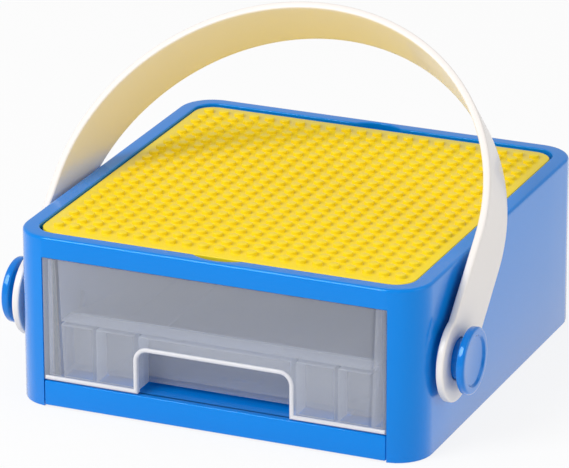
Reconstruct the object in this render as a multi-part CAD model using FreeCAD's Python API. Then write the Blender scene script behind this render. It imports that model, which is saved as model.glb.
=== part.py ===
import FreeCAD, Part
import math
import os

# Square storage box with one translucent drawer, a studded building plate
# in its lid and a swinging carry handle.  Millimetres, +Z up, the drawer
# faces -Y.  The origin is the centre of the box on its underside.

# Housing
box_width = 200.0
box_depth = 204.0
box_height = 83.0
corner_radius = 17.0
top_bevel = 1.5
wall = 2.5
rim_lip = 2.2
deck_thick = 2.2

# Studded plate and its recess in the top
stud_pitch = 8.0
stud_edge = 7.5
stud_radius = 2.4
stud_height = 1.75
stud_sides = 4
plate_from_side = 8.1
plate_from_front = 7.3
plate_thick = 2.35
plate_corner = 9.7
plate_gap = 0.3
plate_rest_gap = 0.05
plate_sunk = 1.1

# Finger notches in the rim, front and back
notch_half_width = 12.0
notch_depth = 3.7
notch_wall = 1.6

# Drawer window
window_from_side = 15.5
window_from_top = 10.0
jamb_thick = 2.0
guide_thick = 2.2
stop_depth = 2.0

# Base tray
rail_bottom = 0.7
rail_height = 12.0
rail_thick = 2.4
floor_thick = 2.2
base_gap = 0.3
skirt_thick = 2.0
rib_thick = 1.6
rib_set_up = 2.0
ribs_across = 1
ribs_deep = 1
runner_from_guide = 20.4
runner_width = 2.0
runner_height = 1.8
runner_start = 16.0
floor_step = 0.2

# Drawer
drawer_gap = 0.3
drawer_under = 0.7
drawer_over = 0.2
drawer_wall = 2.0
panel_wing = 4.5
wing_return = 6.7
wing_gap = 0.3
set_back = 13.0
bin_bottom = 14.7
bin_draft = 2.2
bin_corner = 4.0
bin_back_gap = 4.5
bin_floor = 2.0
ledge_top = 42.5
guide_gap = 0.7
pull_half = 37.5
pull_top = 34.4
pull_corner = 5.0
cheek_thick = 2.5
cell_rib_from_side = 18.0
cell_rib_thick = 1.8
lip_height = 2.0
lip_depth = 1.0
drawer_held = 54.0
stop_gap = 0.2
stop_rib_half = 10.0
stop_rib_thick = 2.0
stop_rib_height = 1.5
lug_half = 8.0
lug_thick = 3.0
lug_height = 1.6
lug_from_back = 8.0

# Handle pivot
pivot_from_front = 32.5
boss_radius = 12.5
boss_height = 1.8
stem_radius = 9.5
stem_run_gap = 0.06
cap_radius = 15.5
cap_thick = 3.8
cap_rise = 10.5
dish_radius = 12.0
dish_depth = 1.0

# Carry handle
strap_thick = 3.6
strap_side_gap = 2.8
eye_radius = 20.0
strap_width_low = 35.0
strap_width_top = 31.0
leg_height = 52.5
shoulder_radius = 106.0
shoulder_turn = 50.0
handle_lean = 44.0

# Screws
post_from_side = 10.0
post_from_front = 14.0
post_radius = 4.0
pilot_gap = 0.05
pilot_extra = 2.0
screw_radius = 1.45
screw_head_radius = 3.0
screw_head_height = 2.2
screw_grip = 13.0
screw_pass_gap = 0.25
screw_well_gap = 0.8
screw_web = 4.5
well_wall = 1.6
driver_hole_radius = 4.5
small_sides = 8
washer_radius = 7.5
washer_thick = 1.2
washer_sides = 12
cap_screw_length = 12.0

overrun = 1.0

# Sizes worked out from those above
half_width = box_width / 2
half_depth = box_depth / 2
inner_half_x = half_width - wall
inner_half_y = half_depth - wall
plate_half_x = half_width - plate_from_side
plate_half_y = half_depth - plate_from_front
studs_across = 1 + int(2 * (plate_half_x - stud_edge) / stud_pitch)
studs_deep = 1 + int(2 * (plate_half_y - stud_edge) / stud_pitch)
recess_half_x = plate_half_x + plate_gap
recess_half_y = plate_half_y + plate_gap
plate_top = box_height - plate_sunk
deck_top = plate_top - plate_thick - plate_rest_gap
deck_bottom = deck_top - deck_thick
floor_top = rail_bottom + rail_height
floor_bottom = floor_top - floor_thick
guide_bottom = floor_top + floor_step
pivot_y = -half_depth + pivot_from_front
pivot_z = box_height / 2
window_half = half_width - window_from_side
window_top = box_height - window_from_top
panel_half = window_half - drawer_gap
panel_bottom = floor_top + drawer_under
panel_top = window_top - drawer_over
bin_half_top = panel_half - panel_wing
bin_half_low = bin_half_top - bin_draft
bin_back_top = inner_half_y - bin_back_gap
guide_half = bin_half_top + guide_gap
guide_outer = guide_half + guide_thick
runner_place = guide_half - runner_from_guide
cell_rib_place = bin_half_low - cell_rib_from_side
drawer_travel = box_depth - drawer_held
post_place_x = half_width - post_from_side
post_place_y = half_depth - post_from_front
stop_front = -half_depth + wing_return + wing_gap
boss_face = half_width + boss_height
cap_inner = half_width + cap_rise
cap_outer = cap_inner + cap_thick
strap_inner = half_width + strap_side_gap
strap_middle = strap_inner + strap_thick / 2
shoulder_centre = strap_middle - shoulder_radius
crown_radius = shoulder_radius + shoulder_centre / math.cos(math.radians(shoulder_turn))
crown_centre = leg_height - (crown_radius - shoulder_radius) * math.sin(math.radians(shoulder_turn))
strap_top = crown_centre + crown_radius + strap_thick / 2
stop_rib_back = bin_back_top - lug_from_back - drawer_travel - stop_gap


def vector(x, y, z):
    return FreeCAD.Vector(x, y, z)


def block(x0, x1, y0, y1, z0, z1):
    """A box between two opposite corners."""
    return Part.makeBox(x1 - x0, y1 - y0, z1 - z0, vector(x0, y0, z0))


def mirrored(shape):
    """The same shape on the other side of the box."""
    return shape.mirror(vector(0, 0, 0), vector(1, 0, 0))


def both_sides(shape):
    return [shape, mirrored(shape)]


def upright_edges(shape):
    """The straight vertical edges of a block."""
    found = []
    for edge in shape.Edges:
        box = edge.BoundBox
        if box.ZLength > box.XLength + box.YLength:
            found.append(edge)
    return found


def rounded_block(half_x, y0, y1, z0, z1, radius):
    """A block centred across the box, with its four upright edges rounded."""
    plain = block(-half_x, half_x, y0, y1, z0, z1)
    return plain.makeFillet(radius, upright_edges(plain))


def level_outline(half_x, y0, y1, z, radius):
    """The outline of a rounded block at one height."""
    slab = rounded_block(half_x, y0, y1, z, z + overrun, radius)
    lowest = min(slab.Faces, key=lambda face: face.CenterOfMass.z)
    return lowest.OuterWire


def rod(x0, x1, radius, y, z):
    """A cylinder that runs across the box."""
    return Part.makeCylinder(radius, x1 - x0, vector(x0, y, z), vector(1, 0, 0))


def post(x, y, z0, z1, radius):
    """A vertical cylinder."""
    return Part.makeCylinder(radius, z1 - z0, vector(x, y, z0))


def prism(x, y, z0, z1, radius, sides):
    """A vertical prism with the area of a round bar, for what is small or many."""
    step = 2 * math.pi / sides
    reach = radius * math.sqrt(step / math.sin(step))
    corners = []
    for number in range(sides):
        turn = (number + 1 / 2) * step
        corners.append(vector(x + reach * math.cos(turn), y + reach * math.sin(turn), z0))
    outline = Part.makePolygon(corners + corners[:1])
    return Part.Face(outline).extrude(vector(0, 0, z1 - z0))


def across_box(shape, x):
    """Lay an upright shape along the pivot axis, its zero height at the given place."""
    shape.rotate(vector(0, 0, 0), vector(0, 1, 0), 90)
    shape.translate(vector(x, pivot_y, pivot_z))
    return shape


def post_centres():
    places = []
    for x in (-post_place_x, post_place_x):
        for y in (-post_place_y, post_place_y):
            places.append((x, y))
    return places


def notch_discs(z0, z1, grow):
    """The round scoops at the middle of the front and back rim."""
    radius = (notch_half_width ** 2 + notch_depth ** 2) / (2 * notch_depth)
    centre = recess_half_y + notch_depth - radius
    front = post(0, -centre, z0, z1, radius + grow)
    back = post(0, centre, z0, z1, radius + grow)
    return [front, back]


def outer_body():
    """The solid outside form of the box, its top edge bevelled."""
    body = rounded_block(half_width, -half_depth, half_depth, 0, box_height, corner_radius)
    top = [edge for edge in body.Edges if edge.BoundBox.ZMin > box_height - top_bevel]
    return body.makeChamfer(top_bevel, top)


def rim_and_deck(body):
    """Hollow the body from below and sink the plate's recess into its top."""
    hollow = rounded_block(inner_half_x, -inner_half_y, inner_half_y, -overrun,
                           box_height - rim_lip, corner_radius - wall)
    lip_x = recess_half_x + rim_lip
    lip_y = recess_half_y + rim_lip
    corner = plate_corner + plate_gap
    tray = rounded_block(lip_x, -lip_y, lip_y, deck_bottom, box_height - rim_lip,
                         corner + rim_lip)
    tray = tray.fuse(notch_discs(deck_bottom, box_height - rim_lip, notch_wall))
    tray = tray.common(hollow)
    recess = rounded_block(recess_half_x, -recess_half_y, recess_half_y, deck_top,
                           box_height + overrun, corner)
    recess = recess.fuse(notch_discs(deck_top, box_height + overrun, 0))
    return body.cut(hollow).fuse(tray).cut(recess)


def drawer_guides():
    """Side guides of the drawer bay, with the bar that stops the drawer's wings."""
    guide = block(guide_half, guide_outer, stop_front, inner_half_y, guide_bottom, deck_bottom)
    jamb = block(window_half, window_half + jamb_thick, -inner_half_y, stop_front + stop_depth,
                 guide_bottom, deck_bottom)
    stop = block(guide_half, window_half + jamb_thick, stop_front, stop_front + stop_depth,
                 guide_bottom, deck_bottom)
    side = guide.fuse([jamb, stop])
    driver_hole = prism(0, 0, -overrun, guide_thick + overrun, driver_hole_radius, small_sides)
    return both_sides(side.cut(across_box(driver_hole, guide_half)))


def screw_posts():
    """Posts under the deck that take the base screws, each tied to its side wall."""
    posts = []
    for x, y in post_centres():
        web_x = sorted((x, math.copysign(inner_half_x + wall / 2, x)))
        web = block(web_x[0], web_x[1], y - rib_thick / 2, y + rib_thick / 2,
                    guide_bottom, deck_bottom)
        column = prism(x, y, guide_bottom, deck_bottom, post_radius, small_sides)
        posts.append(column.fuse(web))
    return posts


def pilot_holes():
    depth = screw_grip + pilot_extra
    radius = screw_radius + pilot_gap
    return [prism(x, y, guide_bottom - overrun, guide_bottom + depth, radius, small_sides)
            for x, y in post_centres()]


def pivot_bosses():
    """Round pads on the outside of the walls that the handle's eyes turn against."""
    return both_sides(rod(half_width - wall / 2, boss_face, boss_radius, pivot_y, pivot_z))


def housing_shell():
    """The blue box: walls, rim, deck, drawer guides, screw posts and pivot bosses."""
    shell = rim_and_deck(outer_body())
    shell = shell.fuse(drawer_guides() + screw_posts() + pivot_bosses())
    window = block(-window_half, window_half, -half_depth - overrun, stop_front,
                   -overrun, window_top)
    pivot_hole = across_box(prism(0, 0, -overrun, wall + boss_height + overrun,
                                  screw_radius + screw_pass_gap, small_sides), inner_half_x)
    return shell.cut([window] + both_sides(pivot_hole) + pilot_holes())


def base_ribs(half_x, half_y):
    """Stiffening ribs under the floor, evenly spaced both ways."""
    ribs = []
    z0 = rail_bottom + rib_set_up
    for number in range(ribs_across):
        x = half_x * (2 * (number + 1) / (ribs_across + 1) - 1)
        ribs.append(block(x - rib_thick / 2, x + rib_thick / 2, -half_y, half_y, z0, floor_bottom))
    for number in range(ribs_deep):
        y = half_y * (2 * (number + 1) / (ribs_deep + 1) - 1)
        ribs.append(block(-half_x, half_x, y - rib_thick / 2, y + rib_thick / 2, z0, floor_bottom))
    return ribs


def base_tray():
    """The blue bottom: front rail under the drawer, floor, runners, skirt and ribs."""
    half_x = inner_half_x - base_gap
    half_y = inner_half_y - base_gap
    corner = corner_radius - wall - base_gap
    rail_half = window_half - base_gap
    tray = rounded_block(half_x, -half_y, half_y, rail_bottom, floor_top, corner)
    tray = tray.fuse(block(-rail_half, rail_half, -half_depth, 0, rail_bottom, floor_top))
    under = rounded_block(half_x - skirt_thick, -half_y + skirt_thick, half_y - skirt_thick,
                          rail_bottom - overrun, floor_bottom, corner - skirt_thick)
    front = block(-rail_half + skirt_thick, rail_half - skirt_thick, -half_depth + rail_thick, 0,
                  rail_bottom - overrun, floor_bottom)
    tray = tray.cut(under.fuse(front))
    runner = block(runner_place - runner_width / 2, runner_place + runner_width / 2,
                   -half_depth + runner_start, half_y - skirt_thick,
                   floor_top - floor_thick / 2, floor_top + runner_height)
    stop = block(-stop_rib_half, stop_rib_half, stop_rib_back - stop_rib_thick, stop_rib_back,
                 floor_top - floor_thick / 2, floor_top + stop_rib_height)
    wells = [prism(x, y, rail_bottom, floor_bottom + floor_thick / 2,
                   screw_head_radius + screw_well_gap + well_wall, small_sides)
             for x, y in post_centres()]
    added = both_sides(runner) + [stop] + wells + base_ribs(half_x - skirt_thick / 2,
                                                            half_y - skirt_thick / 2)
    tray = tray.fuse(added)
    for x, y in post_centres():
        head_room = prism(x, y, rail_bottom - overrun, floor_top - screw_web,
                          screw_head_radius + screw_well_gap, small_sides)
        shank_room = prism(x, y, rail_bottom, floor_top + overrun,
                           screw_radius + screw_pass_gap, small_sides)
        tray = tray.cut([head_room, shank_room])
    return tray


def bin_form(inset, z0, z1):
    """The drawer's drafted body between two heights, drawn in by a wall thickness."""
    outlines = []
    for z in (z0, z1):
        share = (z - bin_bottom) / (panel_top - bin_bottom)
        half_x = bin_half_low + (bin_half_top - bin_half_low) * share - inset
        back = bin_back_top - bin_draft * (1 - share) - inset
        front = -half_depth + inset / 2
        outlines.append(level_outline(half_x, front, back, z, bin_corner - inset))
    return Part.makeLoft(outlines, True, True)


def bin_walls_inside():
    """Floor, stepped front, ledge, cheeks of the finger pull and ribs of its cells."""
    front = -half_depth + set_back
    deep = front + drawer_wall
    floor = block(-panel_half, panel_half, front, bin_back_top, bin_bottom, bin_bottom + bin_floor)
    riser = block(-panel_half, panel_half, front, deep, bin_bottom, ledge_top)
    ledge = block(-panel_half, panel_half, -half_depth, deep, ledge_top - drawer_wall, ledge_top)
    cheek = block(pull_half, pull_half + cheek_thick, -half_depth, deep, bin_bottom, ledge_top)
    rib = block(cell_rib_place - cell_rib_thick / 2, cell_rib_place + cell_rib_thick / 2,
                -half_depth, deep, bin_bottom, ledge_top)
    inside = floor.fuse([riser, ledge] + both_sides(cheek) + both_sides(rib))
    return inside.common(bin_form(0, bin_bottom, panel_top))


def front_panel():
    """The flush front: a plate with side wings turned back and a lip along its foot."""
    face = block(-panel_half, panel_half, -half_depth, -half_depth + drawer_wall,
                 panel_bottom, panel_top)
    wing = block(panel_half - drawer_wall, panel_half, -half_depth, -half_depth + wing_return,
                 panel_bottom, panel_top)
    foot = block(-panel_half, panel_half, -half_depth, -half_depth + drawer_wall + lip_depth,
                 panel_bottom, panel_bottom + lip_height)
    return face.fuse(both_sides(wing) + [foot])


def pull_opening():
    """The finger opening at the foot of the panel, its two upper corners rounded."""
    z0 = panel_bottom - pull_corner - overrun
    blank = block(-pull_half, pull_half, -half_depth - overrun, -half_depth + set_back,
                  z0, pull_top)
    top = [edge for edge in blank.Edges
           if edge.BoundBox.YLength > set_back and edge.BoundBox.ZMin > panel_bottom]
    return blank.makeFillet(pull_corner, top)


def drawer():
    """The translucent drawer with its stepped front and finger pull."""
    shape = bin_form(0, bin_bottom, panel_top)
    shape = shape.cut(bin_form(drawer_wall, bin_bottom - overrun, panel_top + overrun))
    lug_front = bin_back_top - lug_from_back
    lug = block(-lug_half, lug_half, lug_front, lug_front + lug_thick,
                bin_bottom - lug_height, bin_bottom + bin_floor / 2)
    shape = shape.fuse([bin_walls_inside(), front_panel(), lug])
    return shape.cut(pull_opening())


def stud_plate():
    """The yellow building plate with its grid of studs."""
    bottom = deck_top + plate_rest_gap
    plate = rounded_block(plate_half_x, -plate_half_y, plate_half_y, bottom, plate_top, plate_corner)
    studs = []
    for column in range(studs_across):
        for row in range(studs_deep):
            x = (column - (studs_across - 1) / 2) * stud_pitch
            y = (row - (studs_deep - 1) / 2) * stud_pitch
            studs.append(prism(x, y, plate_top, plate_top + stud_height, stud_radius, stud_sides))
    return plate.fuse(studs)


def arch_solid(offset):
    """Everything under an arch drawn off the strap's centre line by an offset."""
    turn = math.radians(shoulder_turn)
    radius = shoulder_radius + offset
    join_x = shoulder_centre + radius * math.cos(turn)
    join_z = leg_height + radius * math.sin(turn)
    mid_x = shoulder_centre + radius * math.cos(turn / 2)
    mid_z = leg_height + radius * math.sin(turn / 2)
    top_z = crown_centre + crown_radius + offset
    leg_x = strap_middle + offset
    depth = -eye_radius
    low = -eye_radius - overrun

    def at(x, z):
        return vector(x, depth, z)

    edges = [
        Part.makeLine(at(leg_x, low), at(leg_x, leg_height)),
        Part.Arc(at(leg_x, leg_height), at(mid_x, mid_z), at(join_x, join_z)).toShape(),
        Part.Arc(at(join_x, join_z), at(0, top_z), at(-join_x, join_z)).toShape(),
        Part.Arc(at(-join_x, join_z), at(-mid_x, mid_z), at(-leg_x, leg_height)).toShape(),
        Part.makeLine(at(-leg_x, leg_height), at(-leg_x, low)),
        Part.makeLine(at(-leg_x, low), at(leg_x, low)),
    ]
    return Part.Face(Part.Wire(edges)).extrude(vector(0, 2 * eye_radius, 0))


def side_outline():
    """The handle seen from the side: a round eye and a tapering strap."""
    reach = half_width + cap_rise
    high = strap_top + overrun
    low_half = strap_width_low / 2
    top_half = strap_width_top / 2
    points = [vector(-reach, -low_half, 0), vector(-reach, low_half, 0),
              vector(-reach, top_half, high), vector(-reach, -top_half, high)]
    strap = Part.Face(Part.makePolygon(points + points[:1])).extrude(vector(2 * reach, 0, 0))
    return strap.fuse(rod(-reach, reach, eye_radius, 0, 0))


def carry_handle():
    """The cream strap handle, leaning back on the rim."""
    arch = arch_solid(strap_thick / 2).cut(arch_solid(-strap_thick / 2))
    strap = arch.common(side_outline()).removeSplitter()
    strap = strap.cut(rod(-cap_inner, cap_inner, stem_radius + stem_run_gap, 0, 0))
    strap.rotate(vector(0, 0, 0), vector(1, 0, 0), handle_lean - 90)
    strap.translate(vector(0, pivot_y, pivot_z))
    return strap


def pivot_cap():
    """Round cap with a dished face and a stem that the handle's eye turns on."""
    profile = [
        (boss_face, 0), (boss_face, stem_radius), (cap_inner, stem_radius),
        (cap_inner, cap_radius), (cap_outer, cap_radius), (cap_outer, dish_radius),
        (cap_outer - dish_depth, dish_radius), (cap_outer - dish_depth, 0),
    ]
    points = [vector(x, pivot_y, pivot_z + radius) for x, radius in profile]
    face = Part.Face(Part.makePolygon(points + points[:1]))
    cap = face.revolve(vector(0, pivot_y, pivot_z), vector(1, 0, 0), 360)
    cap = Part.Solid(cap) if cap.ShapeType == "Shell" else cap
    radius = screw_radius + pilot_gap
    bore = prism(0, 0, -overrun, cap_screw_length + pilot_extra, radius, small_sides)
    return cap.cut(across_box(bore, inner_half_x))


def pivot_washers():
    """A washer behind each side wall."""
    ring = prism(0, 0, 0, washer_thick, washer_radius, washer_sides)
    hole = prism(0, 0, -overrun, washer_thick + overrun, screw_radius + screw_pass_gap, small_sides)
    washer = across_box(ring.cut(hole), inner_half_x - washer_thick)
    return Part.makeCompound(both_sides(washer))


def screw(length):
    """A screw standing on its head, with the underside of the head at height zero."""
    head = prism(0, 0, -screw_head_height, 0, screw_head_radius, small_sides)
    shank = prism(0, 0, -screw_head_height / 2, length, screw_radius, small_sides)
    return head.fuse(shank)


def pivot_screws():
    """The two screws that hold the pivot caps from inside."""
    one = across_box(screw(washer_thick + cap_screw_length), inner_half_x - washer_thick)
    return Part.makeCompound(both_sides(one))


def base_screws():
    """The four screws that hold the base tray to the posts."""
    screws = []
    for x, y in post_centres():
        one = screw(screw_web + floor_step + screw_grip)
        one.translate(vector(x, y, floor_top - screw_web))
        screws.append(one)
    return Part.makeCompound(screws)


def export(name, shape):
    """Write one piece, its flush faces merged."""
    shape.removeSplitter().exportStep("parts/" + name + ".step")


os.makedirs("parts", exist_ok=True)
right_cap = pivot_cap()
export("housing_shell", housing_shell())
export("base_tray", base_tray())
export("drawer", drawer())
export("stud_plate", stud_plate())
export("carry_handle", carry_handle())
export("pivot_cap_left", mirrored(right_cap))
export("pivot_cap_right", right_cap)
export("pivot_washers", pivot_washers())
export("pivot_screws", pivot_screws())
export("base_screws", base_screws())
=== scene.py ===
import math

import bmesh
import bpy
from mathutils import Matrix, Vector


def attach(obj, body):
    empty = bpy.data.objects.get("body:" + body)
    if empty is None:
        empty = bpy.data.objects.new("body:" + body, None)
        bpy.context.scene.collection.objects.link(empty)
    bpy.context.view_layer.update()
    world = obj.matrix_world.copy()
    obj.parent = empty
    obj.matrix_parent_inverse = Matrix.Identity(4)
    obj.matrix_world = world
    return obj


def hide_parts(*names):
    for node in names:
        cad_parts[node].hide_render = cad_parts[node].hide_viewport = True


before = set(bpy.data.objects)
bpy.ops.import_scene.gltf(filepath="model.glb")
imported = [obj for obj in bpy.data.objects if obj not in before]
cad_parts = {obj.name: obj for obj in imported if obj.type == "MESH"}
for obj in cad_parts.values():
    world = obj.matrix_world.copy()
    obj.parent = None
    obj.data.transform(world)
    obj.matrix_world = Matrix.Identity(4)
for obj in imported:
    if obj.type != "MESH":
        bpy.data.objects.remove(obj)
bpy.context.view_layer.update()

# Housing: one injection-moulded box in glossy blue plastic, open below, with
# the drawer window in front and a sunk deck for the plate in its top.

mm = 0.001
box_half_x = 100.0
box_half_y = 102.0
box_top = 83.0
corner_round = 17.0
top_edge_round = 1.5
wall = 2.5
window_half = 84.5
window_top = 73.0
recess_half_x = 92.2
recess_half_y = 95.0
recess_corner = 10.0
deck_top = 79.5
deck_underside = 77.3
deck_lip = 0.9
deck_lip_round = 0.6
deck_fillet = 0.4
scoop_half = 12.0
scoop_depth = 3.7
slot_end_gap = 0.6
slot_edge_gap = 0.25
foot_bevel = 0.4
foot_round = 0.5
window_edge_round = 0.5
front_margin = 0.3
overrun = 1.0
slack = 0.01


def ring(half_x, half_y, corner, z, scoop=None):
    """Points round a rectangle with round corners, anticlockwise from the front
    left corner. They always include the window's edges."""
    centre_x = half_x - corner
    centre_y = half_y - corner
    jamb = math.asin(min(0.9, max(0.05, (window_half - centre_x) / corner)))
    turns = [0.0, jamb] + [math.radians(a) for a in (20, 30, 40, 50, 60, 70, 80, 90)]
    over_scoop = [scoop_half * i / 8 for i in range(-8, 9)]
    columns = [-60.0, -36.0, -20.0] + over_scoop + [20.0, 36.0, 60.0]
    rows = [-60.0, -20.0, 20.0, 60.0]

    def edge_y(x):
        if scoop is None or abs(x) > scoop_half:
            return half_y
        radius = (scoop_half ** 2 + scoop_depth ** 2) / (2 * scoop_depth)
        centre = recess_half_y + scoop_depth - radius
        return centre + math.sqrt((radius + scoop) ** 2 - x * x)

    front = [(x, -edge_y(x)) for x in columns]
    right = [(half_x, y) for y in rows]
    back = [(-x, edge_y(x)) for x in columns]
    left = [(-half_x, -y) for y in rows]
    bends = [(corner * math.sin(turn), corner * math.cos(turn)) for turn in turns]
    front_right = [(centre_x + a, -centre_y - b) for a, b in bends]
    back_right = [(centre_x + b, centre_y + a) for a, b in bends]
    back_left = [(-centre_x - a, centre_y + b) for a, b in bends]
    front_left = [(-x, y) for x, y in reversed(front_right)]
    outline = (front + front_right + right + back_right
               + back + back_left + left + front_left)
    return [Vector((x, y, z)) * mm for x, y in outline]


def add_rings(bm, rings, close_start=True, close_end=True):
    """Skin a stack of rings with quads and cap its two ends."""
    rows = [[bm.verts.new(p) for p in points] for points in rings]
    count = len(rows[0])
    for low, high in zip(rows, rows[1:]):
        for i in range(count):
            j = (i + 1) % count
            bm.faces.new((low[i], low[j], high[j], high[i]))
    if close_start:
        bm.faces.new(list(reversed(rows[0])))
    if close_end:
        bm.faces.new(rows[-1])
    return rows


def piece_from(bm, name, smooth_angle=35):
    """Turn a bmesh into an object with smooth shading broken at its sharp edges."""
    bmesh.ops.recalc_face_normals(bm, faces=bm.faces)
    mesh = bpy.data.meshes.new(name)
    bm.to_mesh(mesh)
    bm.free()
    mesh.shade_smooth()
    mesh.set_sharp_from_angle(angle=math.radians(smooth_angle))
    piece = bpy.data.objects.new(name, mesh)
    bpy.context.scene.collection.objects.link(piece)
    return piece


def moulded_plastic(name, colour, roughness, reflex, polish,
                    grain=0.04, grain_size=900.0, shade=0.04):
    """Moulded plastic: faint colour drift, fine surface grain and uneven gloss."""
    material = bpy.data.materials.new(name)
    material.use_nodes = True
    nodes = material.node_tree.nodes
    links = material.node_tree.links
    shader = nodes["Principled BSDF"]
    shader.inputs["IOR"].default_value = 1.55
    shader.inputs["Specular Tint"].default_value = (*reflex, 1)
    shader.inputs["Coat Weight"].default_value = polish
    shader.inputs["Coat Roughness"].default_value = 0.07
    place = nodes.new("ShaderNodeTexCoord")
    drift = nodes.new("ShaderNodeTexNoise")
    drift.inputs["Scale"].default_value = 9.0
    drift.inputs["Detail"].default_value = 2.0
    links.new(place.outputs["Object"], drift.inputs["Vector"])
    tint = nodes.new("ShaderNodeMix")
    tint.data_type = "RGBA"
    tint.inputs["A"].default_value = (*[c * (1 - shade) for c in colour], 1)
    tint.inputs["B"].default_value = (*[min(1, c * (1 + shade)) for c in colour], 1)
    links.new(drift.outputs["Fac"], tint.inputs["Factor"])
    links.new(tint.outputs["Result"], shader.inputs["Base Color"])
    fine = nodes.new("ShaderNodeTexNoise")
    fine.inputs["Scale"].default_value = grain_size
    fine.inputs["Detail"].default_value = 3.0
    links.new(place.outputs["Object"], fine.inputs["Vector"])
    gloss = nodes.new("ShaderNodeMapRange")
    gloss.inputs["To Min"].default_value = roughness * 0.85
    gloss.inputs["To Max"].default_value = roughness * 1.15
    links.new(fine.outputs["Fac"], gloss.inputs["Value"])
    links.new(gloss.outputs["Result"], shader.inputs["Roughness"])
    bump = nodes.new("ShaderNodeBump")
    bump.inputs["Strength"].default_value = grain
    bump.inputs["Distance"].default_value = 0.0004
    links.new(fine.outputs["Fac"], bump.inputs["Height"])
    links.new(bump.outputs["Normal"], shader.inputs["Normal"])
    return material


def build_housing():
    def wall_ring(inset, z):
        return ring(box_half_x - inset, box_half_y - inset, corner_round - inset, z)

    def recess_ring(outset, z):
        return ring(recess_half_x + outset, recess_half_y + outset,
                    recess_corner + outset, z, outset)

    rings = [wall_ring(wall, deck_underside), wall_ring(wall, window_top),
             wall_ring(wall, foot_bevel), wall_ring(wall - foot_bevel, 0.0),
             wall_ring(foot_round, 0.0), wall_ring(foot_round * 0.3, foot_round * 0.3),
             wall_ring(0.0, foot_round), wall_ring(0.0, window_top),
             wall_ring(0.0, box_top - top_edge_round - overrun)]
    for step in range(8):
        turn = math.radians(90 * step / 7)
        rings.append(wall_ring(top_edge_round * (1 - math.cos(turn)),
                               box_top - top_edge_round * (1 - math.sin(turn))))
    rings.append(recess_ring(deck_lip, box_top))
    for step in range(5):
        turn = math.radians(90 * step / 4)
        rings.append(recess_ring(deck_lip_round * (1 - math.sin(turn)),
                                 box_top - deck_lip_round * (1 - math.cos(turn))))
    rings += [recess_ring(0.0, deck_top + deck_fillet), recess_ring(-deck_fillet, deck_top)]
    bm = bmesh.new()
    rows = add_rings(bm, rings)
    # the window: front faces between the jambs come out, then its edges are walled in
    inside = [i for i, spot in enumerate(rows[7])
              if abs(spot.co.x) <= (window_half + slack) * mm and spot.co.y < 0]
    inside.sort(key=lambda i: rows[7][i].co.x)
    out = set()
    for low, high in zip(rows[1:7], rows[2:8]):
        for i, j in zip(inside, inside[1:]):
            corners = {low[i], low[j], high[i], high[j]}
            for face in low[i].link_faces:
                if set(face.verts) == corners:
                    out.add(face)
    bmesh.ops.delete(bm, geom=list(out), context="FACES_ONLY")
    for i, j in zip(inside, inside[1:]):
        bm.faces.new((rows[1][i], rows[1][j], rows[7][j], rows[7][i]))
    for i in (inside[0], inside[-1]):
        bm.faces.new([rows[k][i] for k in range(1, 8)])
    loose = [v for v in bm.verts if not v.link_faces]
    bmesh.ops.delete(bm, geom=loose, context="VERTS")
    bm.edges.ensure_lookup_table()
    lips = []
    for edge in bm.edges:
        a, b = edge.verts
        level = all(abs(v.co.z - window_top * mm) < slack * mm for v in (a, b))
        front = all(v.co.y < -(box_half_y - front_margin) * mm for v in (a, b))
        in_window = all(abs(v.co.x) < (window_half + slack) * mm for v in (a, b))
        jamb = all(abs(abs(v.co.x) - window_half * mm) < slack * mm for v in (a, b))
        above_foot = min(a.co.z, b.co.z) > foot_bevel * mm
        if front and in_window and (level or (jamb and above_foot)):
            lips.append(edge)
    bmesh.ops.bevel(bm, geom=lips, offset=window_edge_round * mm, segments=3,
                    affect="EDGES", profile=0.5)
    for corner in bm.verts:
        corner.co.y = max(corner.co.y, -box_half_y * mm)
    return piece_from(bm, "housing_shell_moulding")


def apply_modifiers(piece):
    """Bake a piece's modifiers into its mesh."""
    bpy.context.view_layer.update()
    graph = bpy.context.evaluated_depsgraph_get()
    mesh = bpy.data.meshes.new_from_object(piece.evaluated_get(graph), depsgraph=graph)
    piece.modifiers.clear()
    piece.data = mesh
    mesh.shade_smooth()
    mesh.set_sharp_from_angle(angle=math.radians(35))


def combine(target, others, operation, folded=False):
    """Join or cut closed pieces for good; a folded target is one whose skins lie close."""
    for other in others:
        cut = target.modifiers.new(operation, "BOOLEAN")
        cut.operation = operation
        cut.solver = "EXACT"
        cut.use_self = folded
        cut.object = other
    apply_modifiers(target)
    for other in others:
        bpy.data.objects.remove(other)


def scoop_slot(side):
    """The crescent cut through the deck under a finger scoop."""
    radius = (scoop_half ** 2 + scoop_depth ** 2) / (2 * scoop_depth)
    centre = recess_half_y + scoop_depth - radius
    half = scoop_half - slot_end_gap
    outline = []
    for k in range(-10, 11):
        x = half * k / 10
        reach = math.sqrt((radius - slot_edge_gap) ** 2 - x ** 2)
        outline.append((x, side * (centre + reach)))
    outline += [(half, side * recess_half_y), (-half, side * recess_half_y)]
    bm = bmesh.new()
    add_rings(bm, [[Vector((x, y, z)) * mm for x, y in outline]
                   for z in (deck_underside - overrun, deck_top + overrun)])
    return piece_from(bm, "scoop_slot")


shell_blue = moulded_plastic("shell_blue_plastic", (0.0, 0.225, 0.76), 0.2,
                             (0.0, 0.45, 1.0), 0.38)
housing = build_housing()
combine(housing, [scoop_slot(-1), scoop_slot(1)], "DIFFERENCE", True)
housing.data.materials.append(shell_blue)
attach(housing, "housing")
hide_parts("housing_shell")

# Drawer guides, screw posts and pivot bosses: ribs moulded with the housing
# inside its walls; the drawer's wings stop against the two front bars.

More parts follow.
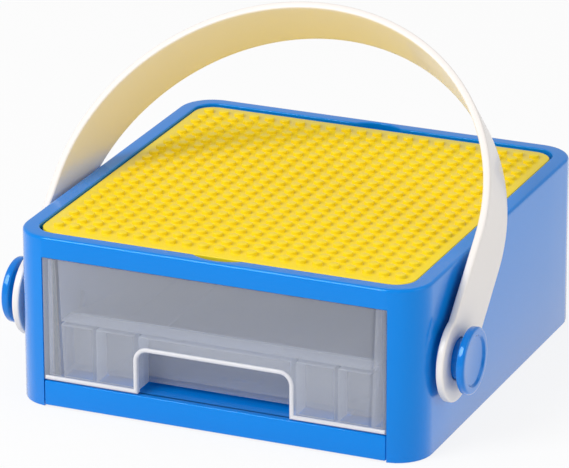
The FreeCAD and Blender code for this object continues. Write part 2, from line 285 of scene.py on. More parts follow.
guide_inner = 80.4
guide_outer = 82.6
guide_front = -95.0
guide_back = 100.0
guide_low = 12.9
stop_front = -100.0
stop_thick = 2.0
post_x = 90.0
post_y = 88.0
post_radius = 4.0
post_hole = 1.5
web_outer = 98.0
web_half = 0.8
pivot_y = -69.5
pivot_z = 41.5
boss_radius = 12.5
boss_height = 1.8
boss_bevel = 0.4
screw_hole = 1.7
driver_radius = 4.5


def add_block(bm, x0, x1, y0, y1, z0, z1):
    """A closed block between two corners, in millimetres."""
    corners = [bm.verts.new(Vector((x, y, z)) * mm)
               for x in (x0, x1) for y in (y0, y1) for z in (z0, z1)]
    for a, b, c, d in ((0, 1, 3, 2), (4, 6, 7, 5), (0, 4, 5, 1),
                       (2, 3, 7, 6), (0, 2, 6, 4), (1, 5, 7, 3)):
        bm.faces.new([corners[k] for k in (a, b, c, d)])


def add_turned(bm, profile, centre, axis, steps=64):
    """A closed turned form: (along, radius) pairs about an axis, axis ends closed."""
    along = Vector(axis)
    across = along.orthogonal().normalized()
    other = along.cross(across)
    rows = []
    for reach, radius in profile:
        base = Vector(centre) + along * reach
        if radius <= 0:
            rows.append([bm.verts.new(base * mm)])
            continue
        row = []
        for k in range(steps):
            turn = 2 * math.pi * k / steps
            spoke = across * math.cos(turn) + other * math.sin(turn)
            row.append(bm.verts.new((base + spoke * radius) * mm))
        rows.append(row)
    pairs = list(zip(rows, rows[1:]))
    if len(rows[0]) > 1:
        pairs.append((rows[-1], rows[0]))
    for low, high in pairs:
        for k in range(steps):
            n = (k + 1) % steps
            if len(low) == 1:
                bm.faces.new((low[0], high[n], high[k]))
            elif len(high) == 1:
                bm.faces.new((low[k], low[n], high[0]))
            else:
                bm.faces.new((low[k], low[n], high[n], high[k]))


def soften(piece, width, segments=2, finish=-1):
    """Round a piece's sharp edges by a real amount; the rounds may take their own finish."""
    bevel = piece.modifiers.new("edge_round", "BEVEL")
    bevel.material = finish
    bevel.width = width * mm
    bevel.segments = segments
    bevel.limit_method = "ANGLE"
    bevel.angle_limit = math.radians(35)
    bevel.use_clamp_overlap = True
    apply_modifiers(piece)


def build_guides():
    top = deck_underside + overrun
    bm = bmesh.new()
    for side in (-1, 1):
        for x0, x1, y0, y1 in (
                (guide_inner, guide_outer, guide_front, guide_back),
                (guide_inner, window_half + stop_thick, guide_front, guide_front + stop_thick),
                (window_half, window_half + stop_thick, stop_front, guide_front + stop_thick)):
            low, high = sorted((side * x0, side * x1))
            add_block(bm, low, high, y0, y1, guide_low, top)
        for y in (-post_y, post_y):
            low, high = sorted((side * post_x, side * web_outer))
            add_block(bm, low, high, y - web_half, y + web_half, guide_low, top)
            add_turned(bm, [(guide_low, post_hole), (guide_low, post_radius),
                            (top, post_radius), (top, post_hole)],
                       (side * post_x, y, 0), (0, 0, 1), 32)
        add_turned(bm, [(-overrun, screw_hole), (-overrun, boss_radius),
                        (boss_height - boss_bevel, boss_radius),
                        (boss_height, boss_radius - boss_bevel), (boss_height, screw_hole)],
                   (side * box_half_x, pivot_y, pivot_z), (side, 0, 0), 64)
    return piece_from(bm, "housing_guides_and_bosses")


def driver_hole(side):
    near = guide_inner - overrun
    far = guide_outer + overrun
    bm = bmesh.new()
    add_turned(bm, [(near, 0.0), (near, driver_radius), (far, driver_radius), (far, 0.0)],
               (0, pivot_y, pivot_z), (side, 0, 0), 48)
    return piece_from(bm, "driver_hole")


guides = build_guides()
combine(guides, [driver_hole(-1), driver_hole(1)], "DIFFERENCE")
guides.data.materials.append(shell_blue)
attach(guides, "housing")

# Base tray: a second blue moulding screwed up into the box from below; its
# front rail shows under the drawer and its floor carries the drawer.

rail_low = 0.7
rail_half = 84.2
rail_back = -97.5
rail_round = 0.6
tray_half_x = 97.2
tray_half_y = 99.2
tray_corner = 14.2
tray_bevel = 0.3
skirt_wall = 2.0
floor_top = 12.7
floor_low = 10.5
runner_x = 60.0
runner_half = 1.0
runner_front = -86.0
runner_back = 97.2
runner_height = 1.8
well_radius = 5.4
head_room = 3.8
screw_seat = 8.2
stop_rib_half = 10.0
stop_rib_back = -67.2
stop_rib_height = 1.5
rib_half = 0.8
rib_low = 2.7
rib_side = 96.2
rib_front = -98.0
rib_back = 98.2


def build_base():
    bm = bmesh.new()
    stack = [(skirt_wall, floor_low), (skirt_wall, rail_low + tray_bevel),
             (skirt_wall - tray_bevel, rail_low), (tray_bevel, rail_low),
             (0.0, rail_low + tray_bevel), (0.0, floor_top - tray_bevel),
             (tray_bevel, floor_top)]
    add_rings(bm, [ring(tray_half_x - i, tray_half_y - i, tray_corner - i, z) for i, z in stack])
    piece = piece_from(bm, "base_tray_floor")
    piece.data.materials.append(shell_blue)
    bm = bmesh.new()
    add_block(bm, -rail_half, rail_half, -box_half_y, rail_back, rail_low, floor_top)
    rail = piece_from(bm, "base_tray_rail")
    soften(rail, rail_round, 3)
    rail.data.materials.append(shell_blue)
    inside_floor = floor_low + overrun
    bm = bmesh.new()
    for side in (-1, 1):
        add_block(bm, side * runner_x - runner_half, side * runner_x + runner_half,
                  runner_front, runner_back, floor_top - overrun, floor_top + runner_height)
        for y in (-post_y, post_y):
            add_turned(bm, [(rail_low, head_room), (rail_low, well_radius),
                            (inside_floor, well_radius), (inside_floor, screw_hole),
                            (screw_seat, screw_hole), (screw_seat, head_room)],
                       (side * post_x, y, 0), (0, 0, 1), 40)
    add_block(bm, -stop_rib_half, stop_rib_half, stop_rib_back - stop_thick, stop_rib_back,
              floor_top - overrun, floor_top + stop_rib_height)
    add_block(bm, -rib_half, rib_half, rib_front, rib_back, rib_low, inside_floor)
    add_block(bm, -rib_side, rib_side, -rib_half, rib_half, rib_low, inside_floor)
    ribs = piece_from(bm, "base_tray_ribs")
    ribs.data.materials.append(shell_blue)
    return piece, rail, ribs


base_floor, base_rail, base_ribs = build_base()
for part in (base_floor, base_rail, base_ribs):
    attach(part, "housing")
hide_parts("base_tray")

# Studded plate: a separate yellow moulding dropped into the deck, with round
# studs in a square grid, 22 rows of 22.

plate_half_x = 91.5
plate_half_y = 92.7
plate_corner = 9.7
plate_low = 79.55
plate_top = 82.2
plate_foot_bevel = 0.3
plate_edge_round = 0.5
stud_count = 22
stud_pitch = 8.0
stud_radius = 2.4
stud_height = 1.75
stud_root = 0.3
stud_fillet = 0.25
stud_fillet_shares = ((0.0, 0.88), (0.32, 0.28), (1.0, 0.0))
stud_edge_round = 0.35


def build_plate():
    bm = bmesh.new()
    stack = [(plate_foot_bevel, plate_low), (0.0, plate_low + plate_foot_bevel)]
    for angle in (0, 22.5, 45, 67.5, 90):
        turn = math.radians(angle)
        stack.append((plate_edge_round * (1 - math.cos(turn)),
                      plate_top - plate_edge_round * (1 - math.sin(turn))))
    add_rings(bm, [ring(plate_half_x - i, plate_half_y - i, plate_corner - i, z)
                   for i, z in stack])
    profile = [(-stud_root, 0.0), (-stud_root, stud_radius)]
    profile += [(stud_fillet * up, stud_radius + stud_fillet * out)
                for up, out in stud_fillet_shares]
    for angle in (0, 30, 60, 90):
        turn = math.radians(angle)
        profile.append((stud_height - stud_edge_round * (1 - math.sin(turn)),
                        stud_radius - stud_edge_round * (1 - math.cos(turn))))
    profile.append((stud_height, 0.0))
    for column in range(stud_count):
        for row in range(stud_count):
            x = (column - (stud_count - 1) / 2) * stud_pitch
            y = (row - (stud_count - 1) / 2) * stud_pitch
            add_turned(bm, profile, (x, y, plate_top), (0, 0, 1), 20)
    return piece_from(bm, "studded_plate", 50)


plate_yellow = moulded_plastic("plate_yellow_plastic", (1.0, 0.74, 0.012), 0.3,
                               (1.0, 0.9, 0.4), 0.15, 0.04, 1200.0)
plate = build_plate()
plate.data.materials.append(plate_yellow)
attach(plate, "plate")
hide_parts("stud_plate")

# Drawer: frosted translucent moulding with a flush front, side wings turned
# back, a stepped lower front, and a finger pull open at its foot.

panel_half = 84.2
panel_low = 13.4
panel_top = 72.8
bin_low = 14.7
bin_half_low = 77.5
bin_half_top = 79.7
bin_back_low = 92.8
bin_back_top = 95.0
bin_wall = 2.0
bin_floor = 2.0
bin_corner = 4.0
bin_front_gap = 0.6
floor_inset = 0.9
step_back = -89.0
riser_half = 77.4
ledge_half = 77.8
ledge_top = 42.5
cell_inner = 58.6
cell_outer = 60.4
cheek_thick = 2.5
inner_front = -101.0
wing_thick = 2.0
wing_front = -101.2
wing_back = -95.3
foot_inset = 1.0
foot_back = -99.0
foot_height = 2.0
lug_half = 8.0
lug_front = 87.0
lug_back = 90.0
lug_drop = 1.6
pull_half = 37.5
pull_top = 34.4
pull_corner = 5.0
pull_back = -96.0
panel_front = -101.6
panel_back = -100.0
drawer_edge_round = 0.4


def frosted_plastic(name, colour, alpha, roughness):
    """Frosted translucent plastic: milky body, more solid where it is seen edge-on."""
    material = bpy.data.materials.new(name)
    material.use_nodes = True
    nodes = material.node_tree.nodes
    links = material.node_tree.links
    shader = nodes["Principled BSDF"]
    shader.inputs["IOR"].default_value = 1.49
    place = nodes.new("ShaderNodeTexCoord")
    haze = nodes.new("ShaderNodeTexNoise")
    haze.inputs["Scale"].default_value = 14.0
    haze.inputs["Detail"].default_value = 3.0
    links.new(place.outputs["Object"], haze.inputs["Vector"])
    tint = nodes.new("ShaderNodeMix")
    tint.data_type = "RGBA"
    tint.inputs["A"].default_value = (*[c * 0.95 for c in colour], 1)
    tint.inputs["B"].default_value = (*colour, 1)
    links.new(haze.outputs["Fac"], tint.inputs["Factor"])
    links.new(tint.outputs["Result"], shader.inputs["Base Color"])
    frost = nodes.new("ShaderNodeTexNoise")
    frost.inputs["Scale"].default_value = 1500.0
    links.new(place.outputs["Object"], frost.inputs["Vector"])
    gloss = nodes.new("ShaderNodeMapRange")
    gloss.inputs["To Min"].default_value = roughness * 0.8
    gloss.inputs["To Max"].default_value = roughness * 1.2
    links.new(frost.outputs["Fac"], gloss.inputs["Value"])
    links.new(gloss.outputs["Result"], shader.inputs["Roughness"])
    bump = nodes.new("ShaderNodeBump")
    bump.inputs["Strength"].default_value = 0.08
    bump.inputs["Distance"].default_value = 0.0003
    links.new(frost.outputs["Fac"], bump.inputs["Height"])
    links.new(bump.outputs["Normal"], shader.inputs["Normal"])
    edge = nodes.new("ShaderNodeLayerWeight")
    edge.inputs["Blend"].default_value = 0.3
    solid = nodes.new("ShaderNodeMapRange")
    solid.inputs["To Min"].default_value = alpha
    solid.inputs["To Max"].default_value = min(1.0, alpha + 0.35)
    links.new(edge.outputs["Facing"], solid.inputs["Value"])
    links.new(solid.outputs["Result"], shader.inputs["Alpha"])
    return material


# Three copies of one frosted plastic. The first is for the clear walls. The second is a lighter,
# more solid copy for ribs, wings, ledge and foot, painted light where they are seen edge-on. The
# third is a near-white copy for rounded edges, the lip bead and the pull opening's walls, a painted
# edge highlight.
drawer_finishes = (
    frosted_plastic("drawer_frosted_plastic", (0.80, 0.84, 0.94), 0.17, 0.25),
    frosted_plastic("drawer_ribs_painted_lighter", (0.88, 0.91, 0.98), 0.38, 0.28),
    frosted_plastic("drawer_painted_edge_highlight", (0.95, 0.94, 0.97), 0.72, 0.3))
clear_wall, rib_painted_lighter, painted_edge_highlight = range(3)


def block_piece(name, finish, *corners):
    """A block for the drawer in one of its finishes."""
    bm = bmesh.new()
    add_block(bm, *corners)
    return finished(piece_from(bm, name), finish)


def finished(piece, finish):
    """Give a piece all the drawer's finishes and set its faces to one of them."""
    for material in drawer_finishes:
        piece.data.materials.append(material)
    for face in piece.data.polygons:
        face.material_index = finish
    return piece


def drawer_ring(inset, z):
    """The drawer's outline at a height, drawn in by an inset; its walls lean outwards."""
    share = (z - bin_low) / (panel_top - bin_low)
    half_x = bin_half_low + (bin_half_top - bin_half_low) * share - inset
    back = bin_back_low + (bin_back_top - bin_back_low) * share - inset
    front = -box_half_y + bin_front_gap + inset / 2
    corner = bin_corner - inset
    side = half_x - corner
    points = []
    for cx, cy, start in ((side, front + corner, 270), (side, back - corner, 0),
                          (-side, back - corner, 90), (-side, front + corner, 180)):
        for step in range(7):
            turn = math.radians(start + 15 * step)
            points.append(Vector((cx + corner * math.cos(turn),
                                  cy + corner * math.sin(turn), z)) * mm)
    return points


def build_drawer():
    bm = bmesh.new()
    rings = [drawer_ring(0, bin_low), drawer_ring(0, panel_top), drawer_ring(bin_wall, panel_top),
             drawer_ring(bin_wall, bin_low)]
    rows = add_rings(bm, rings, False, False)
    count = len(rows[0])
    for i in range(count):
        j = (i + 1) % count
        bm.faces.new((rows[3][i], rows[3][j], rows[0][j], rows[0][i]))
    tub = finished(piece_from(bm, "drawer_moulding"), clear_wall)
    bm = bmesh.new()
    add_rings(bm, [drawer_ring(floor_inset, z) for z in (bin_low, bin_low + bin_floor)])
    floor = finished(piece_from(bm, "floor"), clear_wall)
    front_off = block_piece("front_off", clear_wall, -box_half_x, box_half_x,
                            -box_half_y - 8 * overrun, step_back, 0, bin_low + 5 * overrun)
    combine(floor, [front_off], "DIFFERENCE")
    step_inner = step_back + bin_wall
    # The ledge, cheeks, wings and foot take the lighter copy of the drawer plastic: painted light
    # where these walls are seen edge-on.
    parts = [floor,
             block_piece("riser", clear_wall, -riser_half, riser_half,
                         step_back, step_inner, bin_low, ledge_top),
             block_piece("ledge", rib_painted_lighter, -ledge_half, ledge_half,
                         inner_front, step_inner, ledge_top - bin_wall, ledge_top)]
    for side in (-1, 1):
        for near, far in ((pull_half, pull_half + cheek_thick), (cell_inner, cell_outer)):
            low, high = sorted((side * near, side * far))
            parts.append(block_piece("cheek", rib_painted_lighter, low, high, inner_front,
                                     step_back + overrun, bin_low, ledge_top - overrun))
        low, high = sorted((side * (panel_half - wing_thick), side * panel_half))
        parts.append(block_piece("wing", rib_painted_lighter, low, high,
                                 wing_front, wing_back, panel_low, panel_top))
    foot_half = panel_half - foot_inset
    parts += [block_piece("panel", clear_wall, -panel_half, panel_half,
                          panel_front, panel_back, panel_low, panel_top),
              block_piece("foot", rib_painted_lighter, -foot_half, foot_half,
                          inner_front, foot_back, panel_low, panel_low + foot_height),
              block_piece("lug", clear_wall, -lug_half, lug_half,
                          lug_front, lug_back, bin_low - lug_drop, bin_low + overrun)]
    combine(tub, parts, "UNION")
    bm = bmesh.new()
    add_block(bm, -pull_half, pull_half, -box_half_y - 2 * overrun, pull_back, 0.0, pull_top)
    arch = [e for e in bm.edges if all(v.co.z > 0 for v in e.verts)
            and abs(e.verts[0].co.y - e.verts[1].co.y) > overrun * mm]
    bmesh.ops.bevel(bm, geom=arch, offset=pull_corner * mm, segments=8,
                    affect="EDGES", profile=0.5)
    # The walls of the pull opening and the rounds on all the drawer's edges take the near-white
    # copy: a painted edge highlight.
    combine(tub, [finished(piece_from(bm, "pull_opening"), painted_edge_highlight)], "DIFFERENCE")
    soften(tub, drawer_edge_round, 2, painted_edge_highlight)
    return tub


bead_half = 1.0
bead_end_gap = 0.6
bead_depth = 0.9


def build_lip():
    """The half-round bead along the panel's foot and round the finger pull."""
    x = pull_half + bead_half
    end = panel_half - bead_end_gap
    low_line = panel_low + bead_half
    path = [(-end, low_line), (-x, low_line)]
    for side, start in ((-1, 180), (1, 90)):
        for step in range(9):
            turn = math.radians(start - 90 * step / 8)
            reach = pull_corner + bead_half
            path.append((side * (pull_half - pull_corner) + reach * math.cos(turn),
                         pull_top - pull_corner + reach * math.sin(turn)))
    path += [(x, low_line), (end, low_line)]
    bm = bmesh.new()
    rows = []
    for k, (px, pz) in enumerate(path):
        before = Vector(path[k]) - Vector(path[max(0, k - 1)])
        after = Vector(path[min(len(path) - 1, k + 1)]) - Vector(path[k])
        before = before.normalized() if before.length else after.normalized()
        after = after.normalized() if after.length else before
        across = Vector((-before.y - after.y, before.x + after.x)).normalized()
        across /= max(0.5, across.dot(Vector((-after.y, after.x))))
        row = []
        for step in range(9):
            turn = math.radians(22.5 * step)
            reach = bead_half * math.cos(turn)
            y = -box_half_y + bead_depth * (1 - math.sin(turn))
            row.append(bm.verts.new(Vector((px + across.x * reach, y, pz + across.y * reach)) * mm))
        rows.append(row)
    for low, high in zip(rows, rows[1:]):
        for k in range(9):
            n = (k + 1) % 9
            bm.faces.new((low[k], low[n], high[n], high[k]))
    bm.faces.new(rows[0])
    bm.faces.new(list(reversed(rows[-1])))
    return piece_from(bm, "drawer_pull_lip", 50)


drawer = build_drawer()
lip = build_lip()
# The bead takes the near-white copy of the drawer plastic: a painted highlight along the panel's
# foot and round the pull.
lip.data.materials.append(drawer_finishes[painted_edge_highlight])
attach(lip, "drawer")
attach(drawer, "drawer")
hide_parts("drawer")

# Carry handle: a flat cream strap moulded in one arch, with a round eye at
# each end that turns on the stem of a pivot cap.

strap_thick = 3.6
strap_middle = 104.6
strap_edge_round = 0.9
eye_reach = 24.0
leg_step = 6.0
leg_height = 52.5
shoulder_round = 106.0
shoulder_turn = math.radians(50)
eye_radius = 20.0
eye_hole = 9.56
width_low = 35.0
width_top = 31.0
taper_length = 161.0
lean = math.radians(44.0)


def strap_width(r):
    """The strap's width at a distance along its legs from the pivot."""
    return width_low + (width_top - width_low) * r / taper_length


def strap_line(steps):
    """Points and outward normals along half the arch, from the leg to the crown."""
    centre = strap_middle - shoulder_round
    turn = shoulder_turn
    join = (centre + shoulder_round * math.cos(turn), leg_height + shoulder_round * math.sin(turn))
    crown = join[0] / math.cos(turn)
    crown_z = join[1] - crown * math.sin(turn)
    line = [((strap_middle, eye_reach + leg_step * k), (1.0, 0.0)) for k in range(5)]
    for k in range(steps):
        a = turn * k / steps
        line.append(((centre + shoulder_round * math.cos(a),
                      leg_height + shoulder_round * math.sin(a)), (math.cos(a), math.sin(a))))
    for k in range(steps + 1):
        a = turn + (math.pi / 2 - turn) * k / steps
        line.append(((crown * math.cos(a), crown_z + crown * math.sin(a)),
                     (math.cos(a), math.sin(a))))
    return line


def build_handle():
    half = strap_line(24)
    across = 9
    line = half + [((-x, r), (-nx, nr)) for (x, r), (nx, nr) in reversed(half[:-1])]
    bm = bmesh.new()
    grids = {}
    for face, sign in (("outer", 1), ("inner", -1)):
        rows = []
        for (x, r), (nx, nr) in line:
            row = []
            for k in range(across):
                n = (k / (across - 1) - 0.5) * strap_width(r)
                spot = Vector((x + sign * nx * strap_thick / 2, n, r + sign * nr * strap_thick / 2))
                row.append(bm.verts.new(spot * mm))
            rows.append(row)
        for low, high in zip(rows, rows[1:]):
            for k in range(across - 1):
                bm.faces.new((low[k], low[k + 1], high[k + 1], high[k]))
        grids[face] = rows
    for k in (0, across - 1):
        for i in range(len(line) - 1):
            bm.faces.new((grids["outer"][i][k], grids["outer"][i + 1][k],
                          grids["inner"][i + 1][k], grids["inner"][i][k]))
    # the eyes: a flat ring of quads from the hole out to the round end and up to the strap
    for end, side in ((0, 1), (-1, -1)):
        low_half = strap_width(eye_reach) / 2
        meet = math.acos(low_half / eye_radius)
        spokes = 40
        outline = []
        for k in range(1, spokes):
            a = meet - (math.pi + 2 * meet) * k / spokes
            outline.append((eye_radius * math.cos(a), eye_radius * math.sin(a)))
        shells = {}
        for face, sign in (("outer", 1), ("inner", -1)):
            x = side * (strap_middle + sign * strap_thick / 2)
            shoulder = eye_radius * math.sin(meet)
            corner_right = bm.verts.new(Vector((x, low_half, shoulder)) * mm)
            corner_left = bm.verts.new(Vector((x, -low_half, shoulder)) * mm)
            lower = [bm.verts.new(Vector((x, n, r)) * mm) for n, r in outline]
            loop = grids[face][end] + [corner_right] + lower + [corner_left]
            hole = []
            for v in loop:
                n, r = v.co.y, v.co.z
                size = math.hypot(n, r)
                hole.append(bm.verts.new(Vector((x * mm, n / size * eye_hole * mm,
                                                 r / size * eye_hole * mm))))
            middle = [bm.verts.new(a.co.lerp(b.co, 0.5)) for a, b in zip(loop, hole)]
            for inner_loop, outer_loop in ((hole, middle), (middle, loop)):
                for k in range(len(loop)):
                    n = (k + 1) % len(loop)
                    bm.faces.new((inner_loop[k], inner_loop[n], outer_loop[n], outer_loop[k]))
            shells[face] = (loop, hole)
        out_loop, out_hole = shells["outer"]
        in_loop, in_hole = shells["inner"]
        for k in range(len(out_loop)):
            n = (k + 1) % len(out_loop)
            bm.faces.new((out_hole[k], out_hole[n], in_hole[n], in_hole[k]))
            if k >= across - 1:
                bm.faces.new((out_loop[k], out_loop[n], in_loop[n], in_loop[k]))
    bmesh.ops.recalc_face_normals(bm, faces=bm.faces)
    rims = [e for e in bm.edges
            if len(e.link_faces) == 2 and e.calc_face_angle() > math.radians(60)]
    bmesh.ops.bevel(bm, geom=rims, offset=strap_edge_round * mm, segments=4,
                    affect="EDGES", profile=0.5)
    bm.transform(Matrix.Translation(Vector((0, pivot_y, pivot_z)) * mm)
                 @ Matrix.Rotation(lean - math.pi / 2, 4, "X"))
    return piece_from(bm, "carry_handle_strap")


handle_cream = moulded_plastic("handle_cream_plastic", (0.90, 0.85, 0.81), 0.36,
                               (1, 1, 1), 0.2, 0.05, 700.0, 0.02)
handle = build_handle()
handle.data.materials.append(handle_cream)
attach(handle, "handle")
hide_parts("carry_handle")

# Pivot caps: round blue knobs with a raised rim and a dished face; the stem
# carries the handle's eye and is screwed to the wall from inside.

cap_radius = 15.5
cap_inner = 110.5
cap_outer = 114.3
stem_radius = 9.5
stem_fillet = 0.6
core_radius = 1.5
core_end = 111.5
back_round = 1.0
rim_round = 1.3
rim_inner = 12.3
rim_inner_round = 0.5
dish_radius = 10.9
dish_round = 0.45
dish_depth = 1.0


def arc(cx, cr, radius, start, end, steps):
    """Points of an arc in a turned outline, from one angle to another."""
    turns = [math.radians(start + (end - start) * k / steps) for k in range(steps + 1)]
    return [(cx + radius * math.cos(turn), cr + radius * math.sin(turn)) for turn in turns]


def build_cap(side, name):
    wall_face = box_half_x + boss_height
    profile = [(core_end, 0.0), (core_end, core_radius), (wall_face, core_radius),
               (wall_face, stem_radius), (cap_inner - stem_fillet, stem_radius)]
    profile += arc(cap_inner - stem_fillet, stem_radius + stem_fillet, stem_fillet, 270, 360, 3)
    profile += arc(cap_inner + back_round, cap_radius - back_round, back_round, 180, 90, 5)
    profile += arc(cap_outer - rim_round, cap_radius - rim_round, rim_round, 90, 0, 6)
    profile += arc(cap_outer - rim_inner_round, rim_inner, rim_inner_round, 0, -60, 4)
    profile += arc(cap_outer - dish_depth + dish_round, dish_radius, dish_round, 120, 180, 4)
    profile.append((cap_outer - dish_depth, 0.0))
    bm = bmesh.new()
    add_turned(bm, profile, (0, pivot_y, pivot_z), (side, 0, 0), 96)
    return piece_from(bm, name, 40)


cap_blue = moulded_plastic("cap_blue_plastic", (0.0, 0.20, 0.70), 0.16,
                           (0.05, 0.45, 1.0), 0.6, 0.02)
for side, name in ((-1, "pivot_cap_left"), (1, "pivot_cap_right")):
    cap = build_cap(side, name + "_knob")
    cap.data.materials.append(cap_blue)
    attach(cap, "housing")
    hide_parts(name)

# Screws and washers: plated steel, all inside the box or under its floor; pan
# heads with a cross recess, the two pivot screws bearing on wide washers.

screw_radius = 1.45
head_radius = 3.0
head_height = 2.2
head_crown = ((0.0, 1.9), (0.25, 2.45), (0.8, 2.85), (1.5, head_radius))
thread_pitch = 1.2
thread_root = 1.05
thread_steps = ((0.0, screw_radius), (0.3, thread_root), (0.7, thread_root), (1.0, screw_radius))
tip = 0.6
cross_half = 1.7
cross_thick = 0.42
cross_depth = 1.1
pivot_screw_length = 13.2
base_screw_length = 17.7
washer_radius = 7.5
washer_thick = 1.2
washer_bevel = 0.2


def plated_steel(name):
    material = bpy.data.materials.new(name)
    material.use_nodes = True
    nodes = material.node_tree.nodes
    links = material.node_tree.links
    shader = nodes["Principled BSDF"]
    shader.inputs["Metallic"].default_value = 1.0
    place = nodes.new("ShaderNodeTexCoord")
    scratch = nodes.new("ShaderNodeTexNoise")
    scratch.inputs["Scale"].default_value = 600.0
    links.new(place.outputs["Object"], scratch.inputs["Vector"])
    tint = nodes.new("ShaderNodeMix")
    tint.data_type = "RGBA"
    tint.inputs["A"].default_value = (0.50, 0.51, 0.53, 1)
    tint.inputs["B"].default_value = (0.66, 0.67, 0.69, 1)
    links.new(scratch.outputs["Fac"], tint.inputs["Factor"])
    links.new(tint.outputs["Result"], shader.inputs["Base Color"])
    rough = nodes.new("ShaderNodeMapRange")
    rough.inputs["To Min"].default_value = 0.25
    rough.inputs["To Max"].default_value = 0.42
    links.new(scratch.outputs["Fac"], rough.inputs["Value"])
    links.new(rough.outputs["Result"], shader.inputs["Roughness"])
    return material


def screw_mesh(length):
    """A pan-head screw along +Z, the underside of its head at zero."""
    profile = [(-head_height, 0.0)]
    profile += [(-head_height + down, out) for down, out in head_crown]
    profile += [(0.0, head_radius), (0.0, screw_radius)]
    for k in range(1, int(length / thread_pitch)):
        profile += [(thread_pitch * k + up, out) for up, out in thread_steps]
    profile += [(length - tip, screw_radius), (length, tip), (length, 0.0)]
    bm = bmesh.new()
    add_turned(bm, profile, (0, 0, 0), (0, 0, 1), 32)
    screw = piece_from(bm, "screw")
    slots = []
    for a, b in ((cross_half, cross_thick), (cross_thick, cross_half)):
        bm = bmesh.new()
        add_block(bm, -a, a, -b, b, -head_height - overrun, -head_height + cross_depth)
        slots.append(piece_from(bm, "cross_recess"))
    combine(screw, slots, "DIFFERENCE")
    mesh = screw.data
    bpy.data.objects.remove(screw)
    return mesh


def screws_at(name, mesh, places):
    """One piece with a copy of the screw at each place."""
    bm = bmesh.new()
    for place in places:
        first = len(bm.verts)
        bm.from_mesh(mesh)
        bm.verts.ensure_lookup_table()
        bmesh.ops.transform(bm, matrix=place, verts=bm.verts[first:])
    return piece_from(bm, name)


def build_washers():
    bm = bmesh.new()
    for side in (-1, 1):
        add_turned(bm, [(-washer_thick, screw_hole), (-washer_thick, washer_radius - washer_bevel),
                        (washer_bevel - washer_thick, washer_radius),
                        (0.0, washer_radius), (0.0, screw_hole)],
                   (side * (box_half_x - wall), pivot_y, pivot_z), (side, 0, 0), 48)
    return piece_from(bm, "pivot_washers_turned")


pivot_seat = box_half_x - wall - washer_thick
across_places = [Matrix.Translation(Vector((side * pivot_seat, pivot_y, pivot_z)) * mm)
                 @ Matrix.Rotation(side * math.pi / 2, 4, "Y") for side in (-1, 1)]
upright_places = [Matrix.Translation(Vector((x, y, screw_seat)) * mm)
                  for x in (-post_x, post_x) for y in (-post_y, post_y)]
pivot_screws = screws_at("pivot_screws_cut", screw_mesh(pivot_screw_length), across_places)
base_screws = screws_at("base_screws_cut", screw_mesh(base_screw_length), upright_places)
steel = plated_steel("plated_steel")
for piece, node in ((pivot_screws, "pivot_screws"), (base_screws, "base_screws"),
                    (build_washers(), "pivot_washers")):
    piece.data.materials.append(steel)
    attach(piece, "housing")
    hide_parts(node)

# Studio: a white sweep of floor, soft lights and the photograph's viewpoint.

photo_width = 569
photo_height = 468
focal_pixels = 4946.1
centre_x = 271.08
centre_y = 226.57
paper_half = 9.0
paper_drop = 0.0002
box_middle = (0, 0, 0.04)

scene = bpy.context.scene
scene.view_settings.view_transform = "Standard"

floor_mesh = bpy.data.meshes.new("studio_floor")
paper_corners = [(x * paper_half, y * paper_half, 0)
                 for x, y in ((-1, -1), (1, -1), (1, 1), (-1, 1))]
floor_mesh.from_pydata(paper_corners, [], [(0, 1, 2, 3)])
floor = bpy.data.objects.new("studio_floor", floor_mesh)
floor.location.z = -paper_drop
scene.collection.objects.link(floor)
paper = bpy.data.materials.new("studio_paper")
paper.use_nodes = True
nodes = paper.node_tree.nodes
links = paper.node_tree.links
matte = nodes["Principled BSDF"]
matte.inputs["Base Color"].default_value = (0.93, 0.93, 0.93, 1)
matte.inputs["Roughness"].default_value = 0.9
rays = nodes.new("ShaderNodeLightPath")
seen = nodes.new("ShaderNodeMath")
seen.operation = "MAXIMUM"
links.new(rays.outputs["Is Camera Ray"], seen.inputs[0])
links.new(rays.outputs["Is Glossy Ray"], seen.inputs[1])
also = nodes.new("ShaderNodeMath")
also.operation = "MAXIMUM"
links.new(seen.outputs[0], also.inputs[0])
links.new(rays.outputs["Is Transmission Ray"], also.inputs[1])
share = nodes.new("ShaderNodeMapRange")
share.inputs["To Max"].default_value = 0.85
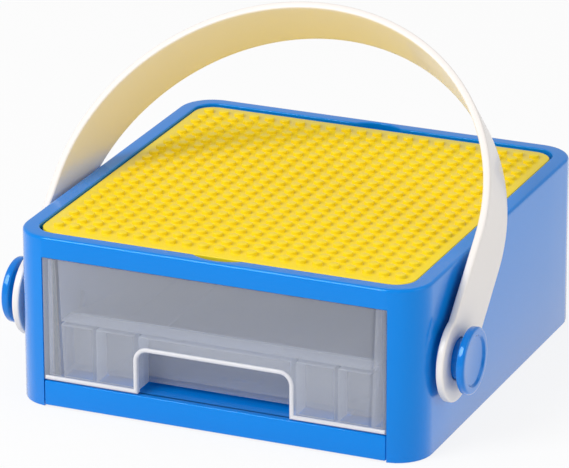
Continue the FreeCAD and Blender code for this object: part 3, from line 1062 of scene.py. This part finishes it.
links.new(also.outputs[0], share.inputs["Value"])
white = nodes.new("ShaderNodeEmission")
white.inputs["Strength"].default_value = 1.0
blend = nodes.new("ShaderNodeMixShader")
links.new(share.outputs["Result"], blend.inputs["Fac"])
links.new(matte.outputs["BSDF"], blend.inputs[1])
links.new(white.outputs["Emission"], blend.inputs[2])
links.new(blend.outputs["Shader"], nodes["Material Output"].inputs["Surface"])
floor.data.materials.append(paper)

world = bpy.data.worlds.new("studio_world")
scene.world = world
world.use_nodes = True
back = world.node_tree.nodes["Background"]
back.inputs["Color"].default_value = (1, 1, 1, 1)
back.inputs["Strength"].default_value = 0.54


def soft_light(name, place, aim, size, watts):
    lamp = bpy.data.lights.new(name, "AREA")
    lamp.shape = "SQUARE"
    lamp.size = size
    lamp.energy = watts
    holder = bpy.data.objects.new(name, lamp)
    holder.location = place
    holder.rotation_euler = (Vector(aim) - Vector(place)).to_track_quat("-Z", "Y").to_euler()
    scene.collection.objects.link(holder)


soft_light("key_light", (-0.9, -1.5, 1.7), box_middle, 1.2, 34)
soft_light("side_light", (1.8, 0.1, 0.9), box_middle, 1.2, 5)

eye = Vector((843.6, -1978.7, 881.4)) * mm
ahead = Vector((-0.37216, 0.85761, -0.35496)).normalized()
up = Vector((-0.13718, 0.32741, 0.93487))
up = (up - ahead * up.dot(ahead)).normalized()
right = ahead.cross(up)
lens_data = bpy.data.cameras.new("studio_camera")
camera = bpy.data.objects.new("studio_camera", lens_data)
scene.collection.objects.link(camera)
camera.matrix_world = Matrix((
    (right.x, up.x, -ahead.x, eye.x), (right.y, up.y, -ahead.y, eye.y),
    (right.z, up.z, -ahead.z, eye.z), (0, 0, 0, 1)))
lens_data.sensor_fit = "HORIZONTAL"
lens_data.sensor_width = 36.0
lens_data.lens = focal_pixels / photo_width * lens_data.sensor_width
lens_data.shift_x = (photo_width / 2 - centre_x) / photo_width
lens_data.shift_y = (centre_y - photo_height / 2) / photo_width
lens_data.clip_start = 0.05
lens_data.clip_end = 50
scene.camera = camera
